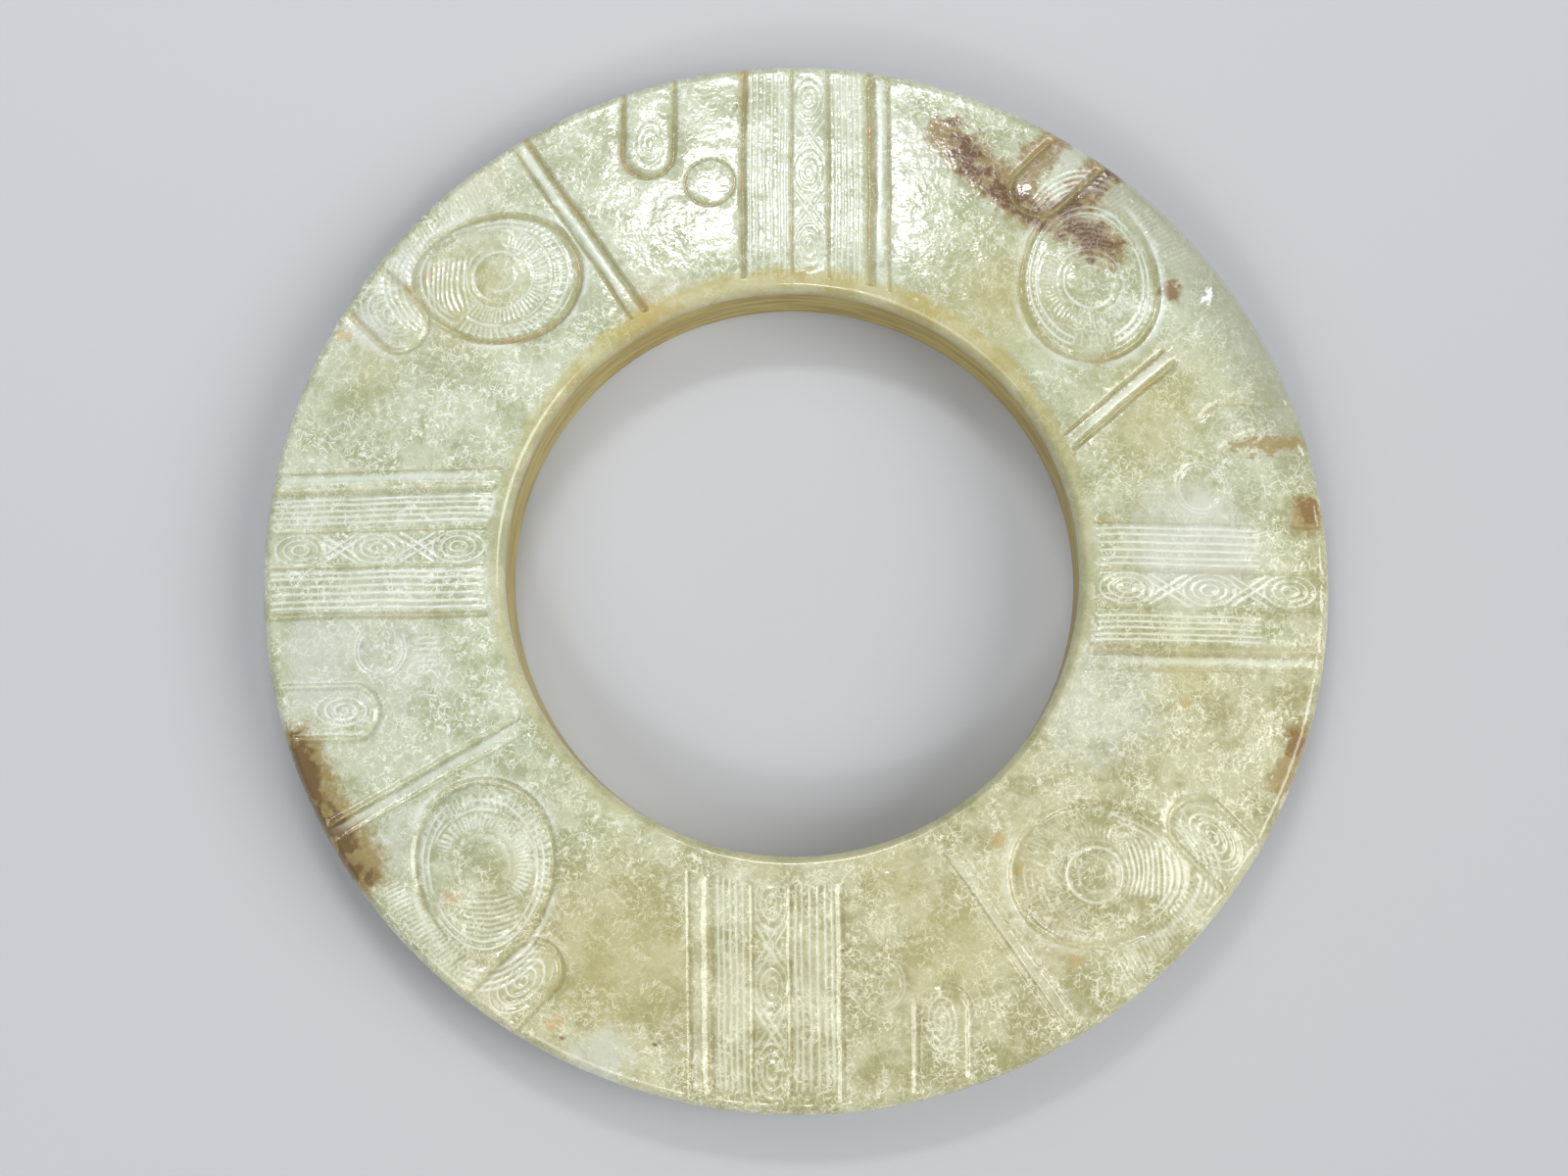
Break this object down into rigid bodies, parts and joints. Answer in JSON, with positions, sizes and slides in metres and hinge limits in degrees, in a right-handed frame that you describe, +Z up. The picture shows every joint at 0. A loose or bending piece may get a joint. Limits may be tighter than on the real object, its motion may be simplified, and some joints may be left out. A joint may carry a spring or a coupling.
{
  "type": "carved jade ring pendant",
  "caption": "Flat jade ring pendant with a wide bore, thickest beside the bore and thin at its rounded rim, carved in low relief with bands, eyes and bars. It lies face up.",
  "frame": {"origin": "under the centre of the bore, on the surface that the ring lies on", "axes": "+Z up, out of the carved front face; +Y towards the band that is at the top of the picture, +X to the picture's right"},
  "size_m": [0.1104, 0.1096, 0.01],
  "materials": {
    "jade": "polished, slightly translucent"
  },
  "bodies": {
    "root": {"jade_ring": "jade"}
  },
  "joints": []
}
